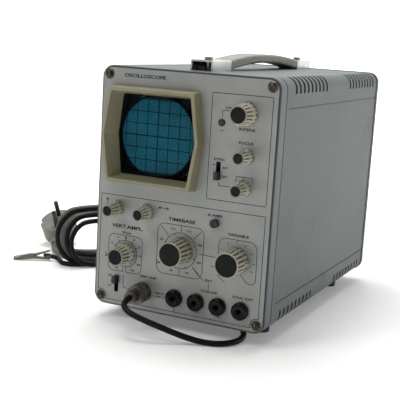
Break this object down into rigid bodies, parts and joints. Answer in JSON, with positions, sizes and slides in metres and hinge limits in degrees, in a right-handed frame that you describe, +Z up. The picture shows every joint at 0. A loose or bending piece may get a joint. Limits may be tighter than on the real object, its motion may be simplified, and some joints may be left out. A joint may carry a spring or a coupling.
{
  "type": "oscilloscope",
  "caption": "Portable analogue oscilloscope with a hooded round screen, fluted knobs, strap handle, slotted case, test cable and mains lead.",
  "frame": {"origin": "middle of the feet plane, under the centre of the instrument without its cords", "axes": "+X to the instrument's right seen from the front, front panel faces -Y, +Z up"},
  "size_m": [0.3545, 0.4019, 0.2305],
  "materials": {
    "case_paint": "hammered grey-blue enamel",
    "frame_paint": "satin grey-blue enamel",
    "panel_metal": "fine brushed, anodised",
    "hood_plastic": "aged cream",
    "filter": "blue-green tinted acrylic",
    "tube_glass": "polished",
    "shield_metal": "dull annealed",
    "chassis_metal": "bare sheet",
    "transformer_iron": "varnished laminations",
    "board": "paper laminate",
    "control_metal": "plated",
    "knob_plastic": "aged cream",
    "cap_black": "polished",
    "steel": "turned",
    "switch_black": "moulded",
    "lamp_lens": "smoked red",
    "jack_black": "polished",
    "socket_metal": "nickel plated",
    "trim_black": "moulded",
    "rear_paint": "satin enamel",
    "bracket_chrome": "satin chrome",
    "grip_plastic": "soft moulded",
    "foot_rubber": "moulded",
    "screw_steel": "nickel plated",
    "plug_metal": "dull nickel",
    "cable_black": "smooth sheath",
    "cable_grey": "smooth sheath",
    "clip_steel": "nickel plated",
    "pin_metal": "nickel plated",
    "plug_grey": "moulded"
  },
  "bodies": {
    "instrument": {"case_shell": "case_paint", "front_frame": "frame_paint", "front_panel": "panel_metal", "rear_trim": "trim_black", "rear_panel": "rear_paint", "screen_bezel": "hood_plastic", "graticule_plate": "filter", "crt_tube": "tube_glass", "crt_shield": "shield_metal", "chassis": "chassis_metal", "transformer": "transformer_iron", "circuit_boards": "board", "potentiometers": "control_metal", "rotary_switches": "control_metal", "slide_switches": "switch_black", "pilot_lamp": "lamp_lens", "jack_sockets": "jack_black", "input_socket": "socket_metal", "handle_brackets": "bracket_chrome", "feet": "foot_rubber", "case_screws": "screw_steel", "cup_washers": "screw_steel", "corner_screws": "screw_steel", "input_plug": "plug_metal", "test_cable": "cable_black", "test_coil": "cable_black", "test_clip": "clip_steel", "mains_pins": "pin_metal", "mains_gland": "trim_black", "mains_lead": "cable_grey", "mains_coil": "cable_grey", "mains_plug": "plug_grey"},
    "intensity": {"intensity_knob": "knob_plastic", "intensity_cap": "cap_black", "intensity_shaft": "steel"},
    "focus": {"focus_knob": "knob_plastic", "focus_cap": "cap_black", "focus_shaft": "steel"},
    "trigger_level": {"trigger_level_knob": "knob_plastic", "trigger_level_cap": "cap_black", "trigger_level_shaft": "steel"},
    "vertical_position": {"vertical_position_knob": "knob_plastic", "vertical_position_cap": "cap_black", "vertical_position_shaft": "steel"},
    "horizontal_position": {"horizontal_position_knob": "knob_plastic", "horizontal_position_cap": "cap_black", "horizontal_position_shaft": "steel"},
    "vertical_gain": {"vertical_gain_knob": "knob_plastic", "vertical_gain_cap": "cap_black", "vertical_gain_shaft": "steel"},
    "timebase": {"timebase_knob": "knob_plastic", "timebase_cap": "cap_black", "timebase_shaft": "steel"},
    "timebase_variable": {"timebase_variable_knob": "knob_plastic", "timebase_variable_cap": "cap_black", "timebase_variable_shaft": "steel"},
    "horizontal_gain": {"horizontal_gain_trimmer": "switch_black"},
    "sync_slide": {"sync_slider": "switch_black"},
    "coupling_slide": {"coupling_slider": "switch_black"},
    "handle": {"handle_grip": "grip_plastic"}
  },
  "joints": [
    {"name": "intensity_turn", "type": "hinge", "parent": "instrument", "child": "intensity", "pos_m": [0.0526, -0.1315, 0.1868], "axis": [0, 1, 0], "range_deg": [0, 300]},
    {"name": "focus_turn", "type": "hinge", "parent": "instrument", "child": "focus", "pos_m": [0.0546, -0.1315, 0.1536], "axis": [0, 1, 0], "range_deg": [-155, 115]},
    {"name": "trigger_level_turn", "type": "hinge", "parent": "instrument", "child": "trigger_level", "pos_m": [0.0543, -0.1315, 0.128], "axis": [0, 1, 0], "range_deg": [-110, 160]},
    {"name": "vertical_position_turn", "type": "hinge", "parent": "instrument", "child": "vertical_position", "pos_m": [-0.0602, -0.1315, 0.097], "axis": [0, 1, 0], "range_deg": [-145, 125]},
    {"name": "horizontal_position_turn", "type": "hinge", "parent": "instrument", "child": "horizontal_position", "pos_m": [-0.0312, -0.1315, 0.0972], "axis": [0, 1, 0], "range_deg": [-120, 150]},
    {"name": "vertical_gain_turn", "type": "hinge", "parent": "instrument", "child": "vertical_gain", "pos_m": [-0.0504, -0.1315, 0.0589], "axis": [0, 1, 0], "range_deg": [-60, 240]},
    {"name": "timebase_turn", "type": "hinge", "parent": "instrument", "child": "timebase", "pos_m": [0.0014, -0.1315, 0.0696], "axis": [0, 1, 0], "range_deg": [-45, 270]},
    {"name": "timebase_variable_turn", "type": "hinge", "parent": "instrument", "child": "timebase_variable", "pos_m": [0.0516, -0.1315, 0.069], "axis": [0, 1, 0], "range_deg": [-225, 45]},
    {"name": "horizontal_gain_turn", "type": "hinge", "parent": "instrument", "child": "horizontal_gain", "pos_m": [0.0317, -0.1265, 0.0971], "axis": [0, 1, 0], "range_deg": [-135, 135]},
    {"name": "sync_slide_travel", "type": "slide", "parent": "instrument", "child": "sync_slide", "axis": [0, 0, 1], "range_m": [0, 0.0077]},
    {"name": "coupling_slide_travel", "type": "slide", "parent": "instrument", "child": "coupling_slide", "axis": [0, 0, 1], "range_m": [-0.0077, 0]},
    {"name": "handle_lift", "type": "slide", "parent": "instrument", "child": "handle", "axis": [0, 0, 1], "range_m": [0, 0.003]}
  ]
}
